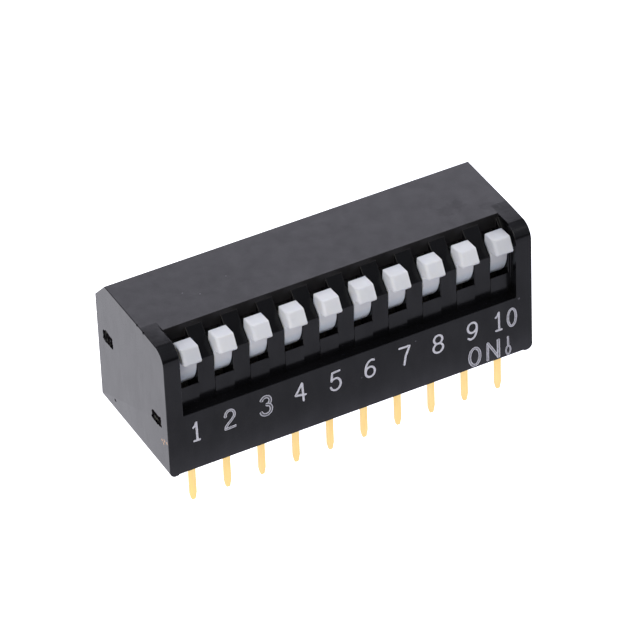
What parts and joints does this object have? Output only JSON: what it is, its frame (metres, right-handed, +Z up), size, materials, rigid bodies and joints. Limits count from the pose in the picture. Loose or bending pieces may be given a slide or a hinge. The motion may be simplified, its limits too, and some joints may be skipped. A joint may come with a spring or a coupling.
{
  "type": "dip switch",
  "caption": "Through-hole piano DIP switch: a row of rocking finger levers in the front of a black moulded case, two rows of flat gold terminals below.",
  "frame": {"origin": "centre of the footprint, in the plane of the board's surface that the case's feet stand on", "axes": "+X along the row towards switch 10, -Y out of the front with the levers and the number panel, +Z up from the board"},
  "size_m": [0.027, 0.01, 0.0134],
  "materials": {
    "case_black": "fine satin moulding",
    "base_black": "matte moulding",
    "lever_white": "soft gloss moulding",
    "terminal_gold": "gold plating, stamped",
    "contact_gold": "gold plating, spring strip"
  },
  "bodies": {
    "housing": {"case": "case_black", "base": "base_black", "front_terminal_01": "terminal_gold", "front_terminal_02": "terminal_gold", "front_terminal_03": "terminal_gold", "front_terminal_04": "terminal_gold", "front_terminal_05": "terminal_gold", "front_terminal_06": "terminal_gold", "front_terminal_07": "terminal_gold", "front_terminal_08": "terminal_gold", "front_terminal_09": "terminal_gold", "front_terminal_10": "terminal_gold", "rear_terminal_01": "terminal_gold", "rear_terminal_02": "terminal_gold", "rear_terminal_03": "terminal_gold", "rear_terminal_04": "terminal_gold", "rear_terminal_05": "terminal_gold", "rear_terminal_06": "terminal_gold", "rear_terminal_07": "terminal_gold", "rear_terminal_08": "terminal_gold", "rear_terminal_09": "terminal_gold", "rear_terminal_10": "terminal_gold"},
    "lever_01": {"lever_01": "lever_white", "slider_01": "contact_gold"},
    "lever_02": {"lever_02": "lever_white", "slider_02": "contact_gold"},
    "lever_03": {"lever_03": "lever_white", "slider_03": "contact_gold"},
    "lever_04": {"lever_04": "lever_white", "slider_04": "contact_gold"},
    "lever_05": {"lever_05": "lever_white", "slider_05": "contact_gold"},
    "lever_06": {"lever_06": "lever_white", "slider_06": "contact_gold"},
    "lever_07": {"lever_07": "lever_white", "slider_07": "contact_gold"},
    "lever_08": {"lever_08": "lever_white", "slider_08": "contact_gold"},
    "lever_09": {"lever_09": "lever_white", "slider_09": "contact_gold"},
    "lever_10": {"lever_10": "lever_white", "slider_10": "contact_gold"}
  },
  "joints": [
    {"name": "lever_01_rock", "type": "hinge", "parent": "housing", "child": "lever_01", "pos_m": [-0.01143, -0.0018, 0.008], "axis": [1, 0, 0], "range_deg": [0, 28]},
    {"name": "lever_02_rock", "type": "hinge", "parent": "housing", "child": "lever_02", "pos_m": [-0.00889, -0.0018, 0.008], "axis": [1, 0, 0], "range_deg": [0, 28]},
    {"name": "lever_03_rock", "type": "hinge", "parent": "housing", "child": "lever_03", "pos_m": [-0.00635, -0.0018, 0.008], "axis": [1, 0, 0], "range_deg": [0, 28]},
    {"name": "lever_04_rock", "type": "hinge", "parent": "housing", "child": "lever_04", "pos_m": [-0.00381, -0.0018, 0.008], "axis": [1, 0, 0], "range_deg": [0, 28]},
    {"name": "lever_05_rock", "type": "hinge", "parent": "housing", "child": "lever_05", "pos_m": [-0.00127, -0.0018, 0.008], "axis": [1, 0, 0], "range_deg": [0, 28]},
    {"name": "lever_06_rock", "type": "hinge", "parent": "housing", "child": "lever_06", "pos_m": [0.00127, -0.0018, 0.008], "axis": [1, 0, 0], "range_deg": [0, 28]},
    {"name": "lever_07_rock", "type": "hinge", "parent": "housing", "child": "lever_07", "pos_m": [0.00381, -0.0018, 0.008], "axis": [1, 0, 0], "range_deg": [0, 28]},
    {"name": "lever_08_rock", "type": "hinge", "parent": "housing", "child": "lever_08", "pos_m": [0.00635, -0.0018, 0.008], "axis": [1, 0, 0], "range_deg": [0, 28]},
    {"name": "lever_09_rock", "type": "hinge", "parent": "housing", "child": "lever_09", "pos_m": [0.00889, -0.0018, 0.008], "axis": [1, 0, 0], "range_deg": [0, 28]},
    {"name": "lever_10_rock", "type": "hinge", "parent": "housing", "child": "lever_10", "pos_m": [0.01143, -0.0018, 0.008], "axis": [1, 0, 0], "range_deg": [0, 28]}
  ]
}
